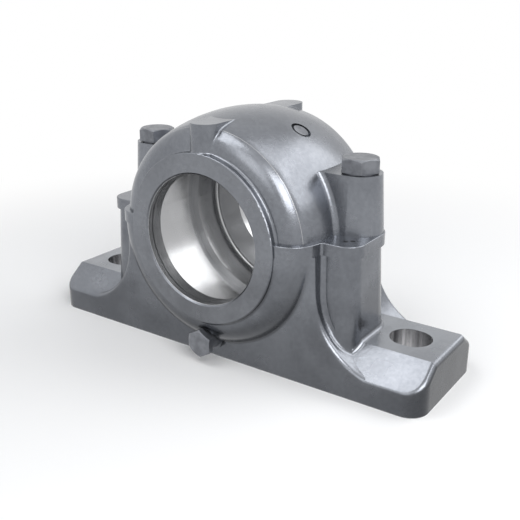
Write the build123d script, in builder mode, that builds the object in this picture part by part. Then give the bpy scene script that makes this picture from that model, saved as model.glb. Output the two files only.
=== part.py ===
from build123d import *
from math import cos, pi, radians, sin, sqrt, tan
import os

# Split plummer block housing for a 130 mm bearing seat: two castings, two cap bolts,
# two dowel pins, a drain plug and a grease plug.
# Millimetres, +Z up.  The origin is the middle of the underside of the base, X runs along
# the base and the shaft runs along Y.  The front, with the drain plug, faces -Y.

# bearing seat, shaft bores and chamber
seat_radius = 65.0
seat_width = 41.0
seat_shoulder = 5.0
bore_radius = 40.0
bore_chamfer = 1.0
end_wall = 12.0
chamber_corner_radius = 4.0
seal_groove_inset = 4.5
seal_groove_width = 0.8
seal_groove_depth = 1.5

# barrel round the bearing, and the collars at its two ends
barrel_wall = 6.8
barrel_reach = 8.4
barrel_crown_radius = 148.0
barrel_shoulder_radius = 14.0
base_barrel_grow = 2.0
barrel_crease_fillet = 2.0
floor_under_barrel = 6.2
collar_reach = 4.6
collar_wall = 12.4
collar_edge_radius = 0.9
collar_seam_radius = 1.4

# foot of the base and its slots
base_width = 80.0
foot_height = 28.0
foot_side_height = 14.0
foot_flat_margin = 5.2
foot_corner_radius = 12.0
foot_edge_radius = 3.5
slot_from_bolt = 38.2
slot_to_end = 25.0
slot_length = 25.5
slot_width = 22.5

# concave flanks between the barrel and the foot
flank_proud = 1.5
flank_draft = 2.5
flank_radius = 47.0

# split flange of the cap and its two lugs
flange_thickness = 7.3
flange_grow = 3.0
flange_edge_radius = 0.6
lug_wall = 16.1
lug_setback = 8.0
lug_corner_radius = 11.0
lug_seam_radius = 1.6

# bolt columns of the base, under the lugs
column_inset = 2.0
column_draft = 3.0
column_floor = 10.0
column_fillet = 3.0

# cap bolts and their bosses
bolt_from_barrel = 5.0
bolt_diameter = 14.0
bolt_engagement = 43.0
bolt_tip_chamfer = 1.5
bolt_across_flats = 21.0
bolt_head_height = 8.8
bolt_washer_face = 0.6
head_top_share = 0.95
bolt_clearance = 0.5
thread_clearance = 0.1
bolt_hole_spare = 4.0
boss_rise = 42.0
boss_ledge = 0.8
boss_draft = 3.4
boss_fillet = 3.4

# top bosses over the seals
top_boss_drop = 3.0
top_boss_radius = 9.0
top_boss_setback = 0.6
top_boss_fillet = 1.0

# dowel pins between the castings
dowel_diameter = 8.0
dowel_length = 14.0
dowel_rise = 4.0
dowel_inset = 10.5
dowel_chamfer = 0.6
dowel_clearance = 0.05
dowel_spare = 0.5

# drain plug at the front of the base
drain_below_chamber = 6.2
drain_boss_radius = 8.5
drain_boss_reach = 3.0
drain_spot_radius = 7.6
drain_neck_diameter = 13.8
drain_thread_diameter = 9.7
drain_thread_length = 9.0
drain_neck_length = 8.6
drain_across_flats = 16.0
drain_head_height = 4.0
drain_duct_diameter = 6.0
drain_duct_spare = 1.0
drain_tip_chamfer = 1.2

# grease plug in the crown of the cap
lube_angle = 31.0
lube_recess_radius = 6.4
lube_recess_depth = 2.6
lube_head_radius = 4.7
lube_head_height = 2.2
lube_thread_diameter = 7.0
lube_thread_length = 3.4

# sizes that follow from the ones above
half_width = base_width / 2
barrel_half_width = half_width + barrel_reach
face_y = barrel_half_width + collar_reach
chamber_radius = seat_radius - seat_shoulder
chamber_width = 2 * (face_y - end_wall)
barrel_radius = seat_radius + barrel_wall
centre_height = barrel_radius + base_barrel_grow + floor_under_barrel
collar_radius = bore_radius + collar_wall
base_crown_radius = barrel_crown_radius + base_barrel_grow
flank_sag = base_crown_radius - sqrt(base_crown_radius**2 - (half_width - foot_edge_radius) ** 2)
flank_half_width = barrel_radius + base_barrel_grow - flank_sag + flank_proud
bolt_x = barrel_radius + bolt_from_barrel
bolt_length = boss_rise + bolt_engagement
bolt_hex_height = bolt_head_height - bolt_washer_face
bolt_hole_depth = bolt_engagement + bolt_hole_spare
slot_x = bolt_x + slot_from_bolt
half_length = slot_x + slot_to_end
foot_flat_y = lug_wall + foot_flat_margin
flange_top = centre_height + flange_thickness
lug_front = half_width - lug_setback
boss_top_height = centre_height + boss_rise
top_boss_height = centre_height + barrel_radius - top_boss_drop
dowel_x = bolt_x + lug_wall - dowel_inset
dowel_y = dowel_inset - lug_front
drain_height = centre_height - chamber_radius - drain_below_chamber
drain_seat_y = -half_width - drain_boss_reach
drain_hole_depth = drain_thread_length + drain_duct_diameter + 2 * drain_duct_spare
drain_duct_y = drain_seat_y + drain_hole_depth - drain_duct_diameter / 2 - drain_duct_spare
cut_margin = 1.0
pick_margin = 0.1
hexagon_angle = pi / 6

shaft_plane = Plane(origin=(0, 0, centre_height), x_dir=(0, 1, 0), z_dir=(1, 0, 0))
shaft_axis = Axis((0, 0, centre_height), (0, 1, 0))
split_plane = Plane.XY.offset(centre_height)
front_plane = Plane.XZ
drain_seat = front_plane.offset(-drain_seat_y)
lube_direction = (sin(radians(lube_angle)), 0, cos(radians(lube_angle)))
lube_floor = Plane(
    origin=shaft_axis.position + (barrel_radius - lube_recess_depth) * Vector(lube_direction),
    z_dir=lube_direction,
)


def barrel_rim(grow):
    """Radius that the barrel's crown curve has dropped to at the end of the barrel."""
    crown = barrel_crown_radius + grow
    half = barrel_half_width + grow
    return barrel_radius + grow - crown + sqrt(crown**2 - half**2)


def make_barrel(grow):
    """The whole barrel, crowned along the shaft, with round shoulders and two collars."""
    half = barrel_half_width + grow
    rim = barrel_rim(grow)
    with BuildPart() as barrel:
        with BuildSketch(shaft_plane):
            with BuildLine():
                Line((half, 0), (half, rim))
                ThreePointArc((half, rim), (0, barrel_radius + grow), (-half, rim))
                Line((-half, rim), (-half, 0))
                Line((-half, 0), (half, 0))
            make_face()
            fillet(vertices().group_by(Axis.Z)[-1], barrel_shoulder_radius + grow)
        revolve(axis=shaft_axis)
        add(make_collars())
        seams = barrel.edges().filter_by(GeomType.CIRCLE).filter_by(
            lambda e: abs(e.radius - collar_radius) < pick_margin
            and abs(e.center().Y) < face_y - collar_edge_radius - pick_margin
        )
        fillet(seams, collar_seam_radius)
    return barrel.part


def make_collars():
    """Round body from face to face whose two ends are the collars."""
    with BuildPart() as collars:
        with BuildSketch(front_plane.offset(face_y)):
            with Locations((0, centre_height)):
                Circle(collar_radius)
        extrude(amount=-2 * face_y)
        fillet(collars.edges().filter_by(GeomType.CIRCLE), collar_edge_radius)
    return collars.part


def make_cavity():
    """All that the core and the machining take out: bores, grooves, chamber and seat."""
    groove_y = face_y - seal_groove_inset
    groove_radius = bore_radius + seal_groove_depth
    rim_radius = bore_radius + bore_chamfer
    with BuildPart() as cavity:
        with BuildSketch(shaft_plane):
            with Locations((0, chamber_radius / 2)):
                Rectangle(chamber_width, chamber_radius)
            fillet(vertices().group_by(Axis.Z)[-1], chamber_corner_radius)
            with Locations((0, seat_radius / 2)):
                Rectangle(seat_width, seat_radius)
            with Locations((0, bore_radius / 2)):
                Rectangle(2 * (face_y + cut_margin), bore_radius)
            for side in (-1, 1):
                with Locations((side * groove_y, groove_radius / 2)):
                    Rectangle(seal_groove_width, groove_radius)
                with BuildLine():
                    Polyline(
                        (side * (face_y - bore_chamfer), 0),
                        (side * (face_y - bore_chamfer), bore_radius),
                        (side * (face_y + cut_margin), rim_radius + cut_margin),
                        (side * (face_y + cut_margin), 0),
                        close=True,
                    )
                make_face()
        revolve(axis=shaft_axis)
    return cavity.part


def lug_outline(inset):
    """Plan of the flange at one bolt: round behind the bolt, a square lug in front."""
    outer = bolt_x + lug_wall - inset
    front = lug_front - inset
    with BuildSketch() as outline:
        with Locations((outer / 2, -front / 2)):
            Rectangle(outer, front)
        front_corner = outline.vertices().sort_by(Axis.Y)[:2].sort_by(Axis.X)[-1]
        fillet(front_corner, lug_corner_radius - inset)
        with Locations((bolt_x / 2, 0)):
            Rectangle(bolt_x, 2 * (lug_wall - inset))
        with Locations((bolt_x, 0)):
            Circle(lug_wall - inset)
    return outline.sketch


def both_sides(sketch):
    """A sketch and its mirror image across the middle of the base."""
    return sketch + mirror(sketch, about=Plane.YZ, mode=Mode.PRIVATE)


def make_foot():
    """Foot: flat in the middle, sloping down to both long sides, with rounded corners."""
    with BuildPart() as foot:
        with BuildSketch(Plane.YZ.offset(-half_length)):
            with BuildLine():
                Polyline(
                    (-half_width, 0),
                    (-half_width, foot_side_height),
                    (-foot_flat_y, foot_height),
                    (foot_flat_y, foot_height),
                    (half_width, foot_side_height),
                    (half_width, 0),
                    close=True,
                )
            make_face()
        extrude(amount=2 * half_length)
        with BuildSketch():
            RectangleRounded(2 * half_length, base_width, foot_corner_radius)
        extrude(amount=foot_height, mode=Mode.INTERSECT)
        upper = foot.edges().filter_by(lambda e: e.bounding_box().min.Z > foot_side_height - pick_margin)
        creases = upper.filter_by(Axis.X).filter_by(lambda e: e.center().Z > foot_height - pick_margin)
        fillet(upper - creases, foot_edge_radius)
    return foot.part


def make_flanks():
    """Block under the barrel whose ends sweep down to the foot in one concave arc each."""
    draft = radians(flank_draft)
    corner_x = flank_half_width + (centre_height - foot_side_height) * tan(draft)
    run = flank_radius * tan((pi / 2 - draft) / 2)
    top = centre_height + foot_edge_radius
    with BuildPart() as flanks:
        with BuildSketch(front_plane.offset(-half_width)):
            with BuildLine():
                across = Line((0, top), (flank_half_width - foot_edge_radius * tan(draft), top))
                upright = (corner_x - run * sin(draft), foot_side_height + run * cos(draft))
                down = Line(across @ 1, upright)
                arc = TangentArc(down @ 1, (corner_x + run, foot_side_height), tangent=down % 1)
                Polyline(arc @ 1, (corner_x + run, 0), (0, 0), (0, top))
            make_face()
            mirror(about=Plane.YZ)
        extrude(amount=base_width)
        ends = flanks.faces().sort_by(Axis.Y)
        outline = ends[0].edges() + ends[-1].edges()
        swept = outline.filter_by(
            lambda e: e.bounding_box().min.Z > foot_side_height / 2 and e.center().Z < top - pick_margin
        )
        fillet(swept, foot_edge_radius)
    return flanks.part


def make_head(across_flats, height, turn):
    """Hexagon head standing on the XY plane, its top edge turned to a 30 degree cone."""
    corner = across_flats / 2 / cos(hexagon_angle)
    top_radius = head_top_share * across_flats / 2
    with BuildPart() as head:
        with BuildSketch(front_plane):
            with BuildLine():
                Polyline(
                    (0, 0),
                    (corner, 0),
                    (corner, height - (corner - top_radius) * tan(hexagon_angle)),
                    (top_radius, height),
                    (0, height),
                    close=True,
                )
            make_face()
        revolve(axis=Axis.Z)
        with BuildSketch():
            RegularPolygon(corner, 6, rotation=turn)
        extrude(amount=height, mode=Mode.INTERSECT)
    return head.part


def make_bolt(bolt_centre):
    """Cap bolt with its washer face seated on the boss at this distance from the middle."""
    with BuildPart() as bolt:
        with BuildSketch():
            Circle(head_top_share * bolt_across_flats / 2)
        extrude(amount=bolt_washer_face)
        with BuildSketch():
            Circle(bolt_diameter / 2)
        extrude(amount=-bolt_length)
        chamfer(edges().sort_by(Axis.Z)[0], bolt_tip_chamfer)
        add(Pos(0, 0, bolt_washer_face) * make_head(bolt_across_flats, bolt_hex_height, 0))
    return Pos(bolt_centre, 0, boss_top_height) * bolt.part


def make_dowel(dowel_centre):
    """Straight dowel pin standing on the bottom of its hole in the base."""
    with BuildPart() as dowel:
        with BuildSketch():
            Circle(dowel_diameter / 2)
        extrude(amount=dowel_length)
        chamfer(edges().filter_by(GeomType.CIRCLE), dowel_chamfer)
    return Pos(dowel_centre, dowel_y, centre_height + dowel_rise - dowel_length) * dowel.part


def make_flange():
    """Flange of the cap: the barrel's plan grown outward, joined to the two bolt lugs."""
    rim = barrel_rim(flange_grow)
    half = barrel_half_width + flange_grow
    reach = barrel_radius + flange_grow
    with BuildPart() as flange:
        with BuildSketch(split_plane):
            with BuildLine():
                Line((-rim, -half), (rim, -half))
                ThreePointArc((rim, -half), (reach, 0), (rim, half))
                Line((rim, half), (-rim, half))
                ThreePointArc((-rim, half), (-reach, 0), (-rim, -half))
            make_face()
            fillet(vertices(), barrel_shoulder_radius + flange_grow)
            add(both_sides(lug_outline(0)))
        extrude(amount=flange_thickness)
        seams = flange.edges().filter_by(Axis.Z).filter_by(
            lambda e: abs(e.center().X) < bolt_x - pick_margin
            and min(abs(e.center().Y + lug_front), abs(e.center().Y - lug_wall)) < pick_margin
        )
        fillet(seams, lug_seam_radius)
        fillet(flange.faces().sort_by(Axis.Z)[-1].edges(), flange_edge_radius)
    return flange.part


# lower casting
with BuildPart() as housing_base:
    add(make_foot())
    add(make_flanks())
    with BuildSketch(split_plane):
        add(both_sides(lug_outline(column_inset)))
    extrude(amount=column_floor - centre_height, taper=-column_draft)
    seams = edges(Select.NEW).filter_by(lambda e: e.bounding_box().min.Z < centre_height - pick_margin)
    fillet(seams, column_fillet)
    add(make_barrel(base_barrel_grow))
    creases = edges(Select.NEW).filter_by(GeomType.CIRCLE)
    fillet(creases, barrel_crease_fillet)
    with BuildSketch(drain_seat):
        with Locations((0, drain_height)):
            Circle(drain_boss_radius)
    extrude(amount=-2 * drain_boss_radius)
    with BuildSketch(drain_seat):
        with Locations((0, drain_height)):
            Circle(drain_spot_radius)
    extrude(amount=half_width, mode=Mode.SUBTRACT)
    split(bisect_by=split_plane, keep=Keep.BOTTOM)
    add(make_cavity(), mode=Mode.SUBTRACT)
    with BuildSketch():
        with Locations((-slot_x, 0), (slot_x, 0)):
            SlotOverall(slot_length, slot_width)
    extrude(amount=foot_height + column_fillet + cut_margin, mode=Mode.SUBTRACT)
    with Locations(split_plane):
        with Locations((-bolt_x, 0), (bolt_x, 0)):
            Hole(bolt_diameter / 2 + thread_clearance, bolt_hole_depth)
        with Locations((-dowel_x, dowel_y), (dowel_x, dowel_y)):
            Hole(dowel_diameter / 2 + dowel_clearance, dowel_length - dowel_rise)
    with Locations(drain_seat):
        with Locations((0, drain_height)):
            Hole(drain_thread_diameter / 2 + thread_clearance, drain_hole_depth)
    with BuildSketch(Plane.XY.offset(drain_height)):
        with Locations((0, drain_duct_y)):
            Circle(drain_duct_diameter / 2)
    extrude(amount=drain_below_chamber + drain_duct_spare, mode=Mode.SUBTRACT)
housing_base.part.label = "housing_base"

# upper casting
with BuildPart() as housing_cap:
    add(make_barrel(0))
    with BuildSketch(Plane.XY.offset(flange_top)):
        for side in (-1, 1):
            with Locations((side * bolt_x, 0)):
                Circle(lug_wall - boss_ledge)
            with Locations((side * bolt_x / 2, 0)):
                Rectangle(bolt_x, 2 * (lug_wall - boss_ledge))
    extrude(amount=boss_top_height - flange_top, taper=boss_draft)
    boss_sides = edges(Select.NEW).filter_by(lambda e: (e @ 0).Z != (e @ 1).Z)
    fillet(boss_sides, boss_fillet)
    with BuildSketch(split_plane):
        top_boss_y = face_y - top_boss_setback - top_boss_radius
        for side in (-1, 1):
            with Locations((0, side * top_boss_y)):
                Circle(top_boss_radius)
        Rectangle(2 * top_boss_radius, 2 * top_boss_y)
    extrude(amount=top_boss_height - centre_height)
    collar_top = centre_height + collar_radius
    seams = edges(Select.NEW).filter_by(lambda e: (e @ 0).Z != (e @ 1).Z)
    seams = seams.filter_by(lambda e: e.bounding_box().max.Z > collar_top + cut_margin)
    fillet(seams, top_boss_fillet)
    add(make_flange())
    split(bisect_by=split_plane, keep=Keep.TOP)
    add(make_cavity(), mode=Mode.SUBTRACT)
    with Locations(Plane.XY.offset(boss_top_height)):
        with Locations((-bolt_x, 0), (bolt_x, 0)):
            Hole(bolt_diameter / 2 + bolt_clearance, boss_top_height - centre_height)
    with BuildSketch(split_plane):
        with Locations((-dowel_x, dowel_y), (dowel_x, dowel_y)):
            Circle(dowel_diameter / 2 + dowel_clearance)
    extrude(amount=dowel_rise + dowel_spare, mode=Mode.SUBTRACT)
    with BuildSketch(lube_floor):
        Circle(lube_recess_radius)
    extrude(amount=lube_recess_depth + cut_margin, mode=Mode.SUBTRACT)
    with BuildSketch(lube_floor):
        Circle(lube_thread_diameter / 2 + thread_clearance)
    extrude(amount=lube_recess_depth + seat_radius - barrel_radius - cut_margin, mode=Mode.SUBTRACT)
housing_cap.part.label = "housing_cap"

# cap bolts
with BuildPart() as cap_bolt_left:
    add(make_bolt(-bolt_x))
cap_bolt_left.part.label = "cap_bolt_left"

with BuildPart() as cap_bolt_right:
    add(make_bolt(bolt_x))
cap_bolt_right.part.label = "cap_bolt_right"

# dowel pins that line the cap up on the base
with BuildPart() as dowel_pin_left:
    add(make_dowel(-dowel_x))
dowel_pin_left.part.label = "dowel_pin_left"

with BuildPart() as dowel_pin_right:
    add(make_dowel(dowel_x))
dowel_pin_right.part.label = "dowel_pin_right"

# drain plug, its shoulder against the boss on the base
with BuildPart() as drain_plug:
    with BuildSketch(drain_seat):
        with Locations((0, drain_height)):
            Circle(drain_neck_diameter / 2)
    extrude(amount=drain_neck_length)
    with BuildSketch(drain_seat):
        with Locations((0, drain_height)):
            Circle(drain_thread_diameter / 2)
    extrude(amount=-drain_thread_length)
    chamfer(edges().sort_by(Axis.Y)[-1], drain_tip_chamfer)
    head = make_head(drain_across_flats, drain_head_height, 90)
    head_plane = drain_seat.offset(drain_neck_length)
    add(head_plane.location * Pos(0, drain_height, 0) * head)
drain_plug.part.label = "drain_plug"

# grease plug, its head on the floor of the recess in the crown
with BuildPart() as lube_plug:
    with BuildSketch(lube_floor):
        Circle(lube_head_radius)
    extrude(amount=lube_head_height)
    with BuildSketch(lube_floor):
        Circle(lube_thread_diameter / 2)
    extrude(amount=-lube_thread_length)
lube_plug.part.label = "lube_plug"

os.makedirs("parts", exist_ok=True)
export_step(housing_base.part, "parts/housing_base.step")
export_step(housing_cap.part, "parts/housing_cap.step")
export_step(cap_bolt_left.part, "parts/cap_bolt_left.step")
export_step(cap_bolt_right.part, "parts/cap_bolt_right.step")
export_step(dowel_pin_left.part, "parts/dowel_pin_left.step")
export_step(dowel_pin_right.part, "parts/dowel_pin_right.step")
export_step(drain_plug.part, "parts/drain_plug.step")
export_step(lube_plug.part, "parts/lube_plug.step")
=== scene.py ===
import math

import bmesh
import bpy
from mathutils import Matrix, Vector

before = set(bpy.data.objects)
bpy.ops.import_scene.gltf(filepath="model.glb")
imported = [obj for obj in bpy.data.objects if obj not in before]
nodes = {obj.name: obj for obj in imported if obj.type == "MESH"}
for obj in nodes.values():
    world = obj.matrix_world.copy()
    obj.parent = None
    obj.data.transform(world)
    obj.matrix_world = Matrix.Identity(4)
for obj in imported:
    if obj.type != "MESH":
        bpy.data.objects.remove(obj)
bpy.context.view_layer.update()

print("frame loaded:", sorted(nodes))

shaftHeight = 0.080  # shaft centre above the foot, in metres


# small helpers for node materials
def newMaterial(name):
    mat = bpy.data.materials.new(name)
    mat.use_nodes = True
    tree = mat.node_tree
    tree.nodes.clear()
    out = tree.nodes.new("ShaderNodeOutputMaterial")
    shader = tree.nodes.new("ShaderNodeBsdfPrincipled")
    tree.links.new(shader.outputs["BSDF"], out.inputs["Surface"])
    return mat, tree, shader


def addNode(tree, kind, **values):
    node = tree.nodes.new(kind)
    for key, value in values.items():
        setattr(node, key, value)
    return node


def maths(tree, operation, a, b=None):
    node = addNode(tree, "ShaderNodeMath", operation=operation)
    for socket, value in zip(node.inputs, (a, b)):
        if value is None:
            continue
        if isinstance(value, (int, float)):
            socket.default_value = value
        else:
            tree.links.new(value, socket)
    return node.outputs[0]


def product(tree, *values):
    result = values[0]
    for value in values[1:]:
        result = maths(tree, "MULTIPLY", result, value)
    return result


def below(tree, value, limit):
    return maths(tree, "LESS_THAN", value, limit)


def above(tree, value, limit):
    return maths(tree, "GREATER_THAN", value, limit)


# how far a value lies from a centre, on either side
def offCentre(tree, value, centre):
    return maths(tree, "ABSOLUTE", maths(tree, "SUBTRACT", value, centre))


def distanceTo(tree, a, b, centre):
    across = maths(tree, "SUBTRACT", a, centre[0])
    along = maths(tree, "SUBTRACT", b, centre[1])
    squares = maths(tree, "ADD", product(tree, across, across), product(tree, along, along))
    return maths(tree, "SQRT", squares)


def noise(tree, coords, scale, detail=3.0):
    node = addNode(tree, "ShaderNodeTexNoise")
    node.inputs["Scale"].default_value = scale
    node.inputs["Detail"].default_value = detail
    node.inputs["Roughness"].default_value = 0.55
    tree.links.new(coords, node.inputs["Vector"])
    return node.outputs["Fac"]


def remap(tree, value, low, high, outLow=0.0, outHigh=1.0):
    node = addNode(tree, "ShaderNodeMapRange", interpolation_type="SMOOTHSTEP")
    ends = {"From Min": low, "From Max": high, "To Min": outLow, "To Max": outHigh}
    for name, number in ends.items():
        node.inputs[name].default_value = number
    tree.links.new(value, node.inputs["Value"])
    return node.outputs["Result"]


# noise spread over the full range from 0 to 1, or between two given values
def mottle(tree, coords, scale, detail, outLow=0.0, outHigh=1.0):
    return remap(tree, noise(tree, coords, scale, detail), 0.3, 0.7, outLow, outHigh)


def mixColour(tree, factor, a, b):
    node = addNode(tree, "ShaderNodeMix", data_type="RGBA")
    for socket, value in ((node.inputs[0], factor), (node.inputs[6], a), (node.inputs[7], b)):
        if isinstance(value, tuple):
            socket.default_value = (*value, 1.0)
        else:
            tree.links.new(value, socket)
    return node.outputs[2]


# castings: satin grey skin outside, bright turned metal inside
casting = {
    # skin
    "skinDark": (0.168, 0.177, 0.197),
    "skinLight": (0.230, 0.242, 0.266),
    "cloudScale": 28.0,
    "cloudShare": 0.65,
    "fleckScale": 420.0,
    "skinRoughness": (0.22, 0.28),
    "skinRoughScale": 60.0,
    "grainScale": 900.0,
    "grainBump": (0.08, 0.0006),  # strength and depth
    "waveScale": 55.0,
    "waveBump": (0.07, 0.0008),
    "metallic": 0.9,
    # machined metal
    "machined": (0.46, 0.465, 0.475),
    "machinedRoughness": (0.20, 0.27),
    "machinedRoughScale": 90.0,
    "ringPitch": 0.0011,
    "ringBump": (0.05, 0.00002),
    # slot walls: milling streaks, the pale ones also a painted reflection
    "milledDark": (0.26, 0.26, 0.27),
    "milledAndReflectedLight": (0.80, 0.80, 0.81),
    "toolAndReflectionStreaks": 130.0,
    "millStretch": 0.02,
    # where it is machined, in metres
    "chamberRadius": 0.0656,
    "chamberDepth": 0.0413,
    "boreRadius": 0.0418,
    "boreDepth": 0.0521,
    "collarRadius": 0.0514,
    "collarFace": 0.05295,
    "collarShine": 0.05,
    "slotCentre": 0.115,
    "slotReach": (0.0129, 0.0114),
    "slotTop": 0.0278,
    "footFace": 0.0002,
    # painted shade and a painted highlight, with facings as the upward part of the surface's
    # direction
    "uprightFacing": (0.25, 0.6),
    # painted shade on upright sides near the foot, with a patchy top edge
    "sideShadeReach": (0.0, 0.095),
    "sideShadePatches": 0.02,
    "sideShadeTone": 0.56,
    # painted shade on surfaces that face downward
    "undersideFacing": (-0.5, 0.1),
    "undersideShadeTone": 0.40,
    # painted shade on the upright ends of the foot
    "endReach": (0.126, 0.139),
    "endShadeTone": 0.64,
    "footTop": 0.030,
    # colour of the painted highlight on the foot's flat top
    "footHighlight": (0.34, 0.355, 0.38),
    "footHighlightFacing": (0.93, 0.99),
    "footHighlightShare": (0.4125, 0.75),
    # two punch marks on the right-hand lug
    "punchMarks": ((0.0814, -0.0226), (0.0845, -0.0200)),
    "punchRadius": 0.0015,
    "punchHeight": 0.0873,
    "punchReach": 0.004,
    "punchFacing": 0.5,
    "punchColour": (0.01, 0.01, 0.011),
}


def makeCasting():
    c = casting
    mat, tree, shader = newMaterial("castGreyIron")
    coords = addNode(tree, "ShaderNodeTexCoord").outputs["Object"]
    split = addNode(tree, "ShaderNodeSeparateXYZ")
    tree.links.new(coords, split.inputs[0])
    x, y, z = split.outputs
    facing = addNode(tree, "ShaderNodeSeparateXYZ")
    tree.links.new(addNode(tree, "ShaderNodeTexCoord").outputs["Normal"], facing.inputs[0])
    rising = facing.outputs["Z"]
    radius = distanceTo(tree, x, z, (0.0, shaftHeight))
    depth = maths(tree, "ABSOLUTE", y)
    sideways = maths(tree, "ABSOLUTE", x)

    # where the castings are machined: chamber, bores, slot walls and underside
    inChamber = below(tree, depth, c["chamberDepth"])
    chamber = product(tree, below(tree, radius, c["chamberRadius"]), inChamber)
    inBore = below(tree, depth, c["boreDepth"])
    bore = product(tree, below(tree, radius, c["boreRadius"]), inBore)
    slot = product(
        tree,
        below(tree, offCentre(tree, sideways, c["slotCentre"]), c["slotReach"][0]),
        below(tree, depth, c["slotReach"][1]),
        below(tree, z, c["slotTop"]),
        above(tree, z, c["footFace"]),
    )
    machined = maths(tree, "MAXIMUM", chamber, bore)
    machined = maths(tree, "MAXIMUM", machined, slot)
    machined = maths(tree, "MAXIMUM", machined, below(tree, z, c["footFace"]))
    cast = maths(tree, "SUBTRACT", 1.0, machined)
    # the collars' faces are only skimmed, so they keep most of the skin's tone
    outward = above(tree, depth, c["collarFace"])
    collar = product(tree, outward, below(tree, radius, c["collarRadius"]), c["collarShine"])

    # skin: cloudy tone and fine sand grain
    cloud = mottle(tree, coords, c["cloudScale"], 4.0)
    fleck = mottle(tree, coords, c["fleckScale"], 2.0)
    clouds = product(tree, cloud, c["cloudShare"])
    flecks = product(tree, fleck, 1.0 - c["cloudShare"])
    tone = maths(tree, "ADD", clouds, flecks)
    skin = mixColour(tree, tone, c["skinDark"], c["skinLight"])
    # painted shade darkens the upright sides toward the foot, the undersides and the upright
    # ends of the foot
    side = remap(tree, maths(tree, "ABSOLUTE", rising), *c["uprightFacing"], 1.0, 0.0)
    patchy = product(tree, maths(tree, "SUBTRACT", cloud, 0.5), c["sideShadePatches"])
    height = maths(tree, "ADD", z, patchy)
    # painted shade: upright sides darker toward the foot
    sideShade = remap(tree, height, *c["sideShadeReach"], 1.0 - c["sideShadeTone"], 0.0)
    unshaded = maths(tree, "SUBTRACT", 1.0, product(tree, side, sideShade))
    # painted shade: surfaces facing downward are darker
    undersideShade = remap(tree, rising, *c["undersideFacing"], c["undersideShadeTone"], 1.0)
    low = below(tree, z, c["footTop"])
    # painted shade: the upright ends of the foot are darker
    end = product(tree, remap(tree, sideways, *c["endReach"]), side, low, 1.0 - c["endShadeTone"])
    unshaded = product(tree, unshaded, undersideShade, maths(tree, "SUBTRACT", 1.0, end))
    skin = mixColour(tree, unshaded, (0.0, 0.0, 0.0), skin)
    # painted highlight: the flat top of the foot is brighter, in patches
    level = remap(tree, rising, *c["footHighlightFacing"])
    highlightPatches = remap(tree, cloud, 0.0, 1.0, *c["footHighlightShare"])
    footHighlight = product(tree, level, low, highlightPatches)
    skin = mixColour(tree, footHighlight, skin, c["footHighlight"])
    colour = mixColour(tree, maths(tree, "MAXIMUM", machined, collar), skin, c["machined"])
    for centre in c["punchMarks"]:
        mark = product(
            tree,
            below(tree, distanceTo(tree, x, y, centre), c["punchRadius"]),
            below(tree, offCentre(tree, z, c["punchHeight"]), c["punchReach"]),
            above(tree, rising, c["punchFacing"]),
        )
        colour = mixColour(tree, mark, colour, c["punchColour"])
    # upright cutter streaks on the slot walls, the pale streaks also a painted reflection
    upright = addNode(tree, "ShaderNodeMapping")
    upright.inputs["Scale"].default_value = (1.0, 1.0, c["millStretch"])
    tree.links.new(coords, upright.inputs["Vector"])
    streaks = noise(tree, upright.outputs["Vector"], c["toolAndReflectionStreaks"])
    streaks = remap(tree, streaks, 0.38, 0.62)
    millingAndReflection = mixColour(tree, streaks, c["milledDark"], c["milledAndReflectedLight"])
    colour = mixColour(tree, slot, colour, millingAndReflection)
    tree.links.new(colour, shader.inputs["Base Color"])
    shader.inputs["Metallic"].default_value = c["metallic"]

    castRough = mottle(tree, coords, c["skinRoughScale"], 3.0, *c["skinRoughness"])
    turnedRough = mottle(tree, coords, c["machinedRoughScale"], 3.0, *c["machinedRoughness"])
    mixRough = addNode(tree, "ShaderNodeMix", data_type="FLOAT")
    for socket, value in ((0, machined), (2, castRough), (3, turnedRough)):
        tree.links.new(value, mixRough.inputs[socket])
    tree.links.new(mixRough.outputs[0], shader.inputs["Roughness"])

    # bumps: grain and slow waves on the skin, fine turning rings on the machined metal
    turning = maths(tree, "ADD", radius, y)
    rings = maths(tree, "SINE", product(tree, turning, 2 * math.pi / c["ringPitch"]))
    bumps = (
        (noise(tree, coords, c["grainScale"], 2.0), cast, c["grainBump"]),
        (noise(tree, coords, c["waveScale"], 2.0), cast, c["waveBump"]),
        (rings, machined, c["ringBump"]),
    )
    normal = None
    for heightMap, where, (strength, distance) in bumps:
        bump = addNode(tree, "ShaderNodeBump")
        bump.inputs["Distance"].default_value = distance
        tree.links.new(heightMap, bump.inputs["Height"])
        tree.links.new(product(tree, where, strength), bump.inputs["Strength"])
        if normal:
            tree.links.new(normal, bump.inputs["Normal"])
        normal = bump.outputs["Normal"]
    tree.links.new(normal, shader.inputs["Normal"])
    return mat


# fasteners: dull dark steel with faint upright drawing marks
fastener = {
    "dark": (0.145, 0.152, 0.168),
    "light": (0.225, 0.234, 0.255),
    "cloudScale": 160.0,
    "metallic": 0.9,
    "roughness": (0.34, 0.46),
    "roughScale": 300.0,
    "marksScale": 2200.0,
    "marksStretch": 0.08,
    "marksBump": (0.12, 0.0003),
}


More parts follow.
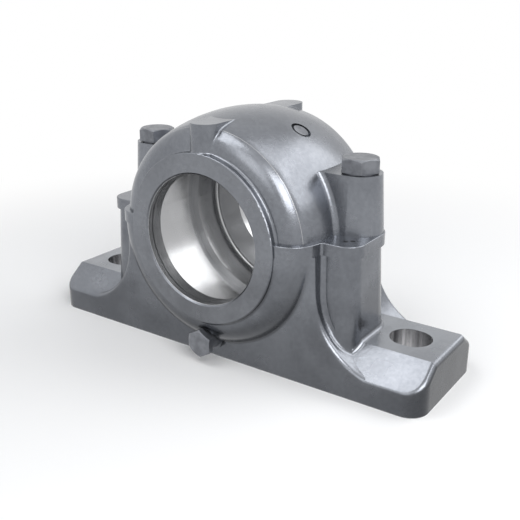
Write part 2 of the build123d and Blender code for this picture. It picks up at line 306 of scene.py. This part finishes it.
def makeFastener():
    f = fastener
    mat, tree, shader = newMaterial("dullSteel")
    coords = addNode(tree, "ShaderNodeTexCoord").outputs["Object"]
    cloud = mottle(tree, coords, f["cloudScale"], 4.0)
    colour = mixColour(tree, cloud, f["dark"], f["light"])
    tree.links.new(colour, shader.inputs["Base Color"])
    shader.inputs["Metallic"].default_value = f["metallic"]
    rough = mottle(tree, coords, f["roughScale"], 3.0, *f["roughness"])
    tree.links.new(rough, shader.inputs["Roughness"])
    stretch = addNode(tree, "ShaderNodeMapping")
    stretch.inputs["Scale"].default_value = (1.0, 1.0, f["marksStretch"])
    tree.links.new(coords, stretch.inputs["Vector"])
    marks = noise(tree, stretch.outputs["Vector"], f["marksScale"], 2.0)
    bump = addNode(tree, "ShaderNodeBump")
    bump.inputs["Strength"].default_value, bump.inputs["Distance"].default_value = f["marksBump"]
    tree.links.new(marks, bump.inputs["Height"])
    tree.links.new(bump.outputs["Normal"], shader.inputs["Normal"])
    return mat


castingMat = makeCasting()
fastenerMat = makeFastener()
for name, node in nodes.items():
    node.data.materials.clear()
    node.data.materials.append(castingMat if name.startswith("housing") else fastenerMat)
print("materials assigned")


# studio: pale floor, white surroundings, soft lamps round and over the housing
studio = {
    "floorColour": (0.90, 0.90, 0.90),
    "floorSize": 40.0,
    "shadowReach": (0.20, 0.50),
    "floorDrop": 0.0002,
    "floorRoughness": 0.9,
    "floorShine": 0.1,
    "worldColour": (0.92, 0.95, 1.0),
    "worldStrength": 0.27,
    "lampDistance": 1.25,
    # azimuth and rise in degrees, width and depth in metres, brightness
    "lamps": {
        "rightKey": (-30.0, 35.0, 0.7, 0.7, 5.2),
        "backRight": (45.0, 35.0, 1.3, 0.7, 2.1),
        "topBack": (45.0, 62.0, 0.7, 0.7, 1.5),
        "topLeft": (-135.0, 62.0, 0.7, 0.7, 3.0),
        "front": (-90.0, 35.0, 0.7, 0.7, 1.3),
    },
}


# what the camera sees by itself, and what it sees in metal or glass
def sightLines(tree):
    seen = tree.nodes.new("ShaderNodeLightPath").outputs
    mirrored = maths(tree, "MAXIMUM", seen["Is Glossy Ray"], seen["Is Transmission Ray"])
    return seen["Is Camera Ray"], mirrored


def makeFloor():
    bm = bmesh.new()
    bmesh.ops.create_grid(bm, x_segments=1, y_segments=1, size=studio["floorSize"] / 2)
    mesh = bpy.data.meshes.new("studioFloor")
    bmesh.ops.translate(bm, verts=bm.verts, vec=(0.0, 0.0, -studio["floorDrop"]))
    bm.to_mesh(mesh)
    bm.free()
    floor = bpy.data.objects.new("studioFloor", mesh)
    bpy.context.scene.collection.objects.link(floor)
    mat, tree, shader = newMaterial("floorPaper")
    shader.inputs["Base Color"].default_value = (*studio["floorColour"], 1.0)
    shader.inputs["Roughness"].default_value = studio["floorRoughness"]
    shader.inputs["Specular IOR Level"].default_value = studio["floorShine"]
    # lit paper near the object, plain white further out and in the metal
    coords = addNode(tree, "ShaderNodeTexCoord").outputs["Object"]
    length = addNode(tree, "ShaderNodeVectorMath", operation="LENGTH")
    tree.links.new(coords, length.inputs[0])
    far = remap(tree, length.outputs["Value"], *studio["shadowReach"])
    white = tree.nodes.new("ShaderNodeEmission")
    mix = tree.nodes.new("ShaderNodeMixShader")
    direct, mirrored = sightLines(tree)
    plain = maths(tree, "MAXIMUM", product(tree, far, direct), mirrored)
    tree.links.new(plain, mix.inputs[0])
    tree.links.new(shader.outputs["BSDF"], mix.inputs[1])
    tree.links.new(white.outputs[0], mix.inputs[2])
    out = [n for n in tree.nodes if n.type == "OUTPUT_MATERIAL"][0]
    tree.links.new(mix.outputs[0], out.inputs["Surface"])
    mesh.materials.append(mat)
    return floor


def makeWorld():
    world = bpy.data.worlds.new("studioWorld")
    bpy.context.scene.world = world
    world.use_nodes = True
    tree = world.node_tree
    tree.nodes.clear()
    out = tree.nodes.new("ShaderNodeOutputWorld")
    light = tree.nodes.new("ShaderNodeBackground")
    light.inputs["Color"].default_value = (*studio["worldColour"], 1.0)
    light.inputs["Strength"].default_value = studio["worldStrength"]
    white = tree.nodes.new("ShaderNodeBackground")
    white.inputs["Color"].default_value = (1.0, 1.0, 1.0, 1.0)
    mix = tree.nodes.new("ShaderNodeMixShader")
    tree.links.new(maths(tree, "MAXIMUM", *sightLines(tree)), mix.inputs[0])
    tree.links.new(light.outputs[0], mix.inputs[1])
    tree.links.new(white.outputs[0], mix.inputs[2])
    tree.links.new(mix.outputs[0], out.inputs["Surface"])


def addLamp(name, azimuth, rise, width, depth, radiance):
    target = Vector((0.0, 0.0, shaftHeight))
    turn, tilt = math.radians(azimuth), math.radians(rise)
    level = math.cos(tilt)
    away = Vector((level * math.cos(turn), level * math.sin(turn), math.sin(tilt)))
    data = bpy.data.lights.new(name, "AREA")
    data.shape = "RECTANGLE"
    data.size = width
    data.size_y = depth
    # the brightness of its face stays the same at any size
    data.energy = radiance * math.pi * width * depth
    lamp = bpy.data.objects.new(name, data)
    bpy.context.scene.collection.objects.link(lamp)
    lamp.location = target + studio["lampDistance"] * away
    lamp.rotation_euler = (-away).to_track_quat("-Z", "Y").to_euler()


makeFloor()
makeWorld()
for name, values in studio["lamps"].items():
    addLamp(name, *values)
print("studio ready:", len(studio["lamps"]), "lamps")

# camera in front of the right-hand end, a little above the housing
view = {
    "place": (0.27497, -0.38423, 0.2288),
    "downward": 20.52,  # degrees
    "turn": 34.85,
    "lens": 53.46,  # millimetres
    "sensor": 36.0,
    "nearest": 0.01,
}
camData = bpy.data.cameras.new("viewCamera")
camData.lens = view["lens"]
camData.sensor_width = view["sensor"]
camData.clip_start = view["nearest"]
camera = bpy.data.objects.new("viewCamera", camData)
bpy.context.scene.collection.objects.link(camera)
camera.location = view["place"]
camera.rotation_euler = (math.radians(90 - view["downward"]), 0, math.radians(view["turn"]))
bpy.context.scene.camera = camera
bpy.context.scene.view_settings.view_transform = "Standard"
print("camera ready")
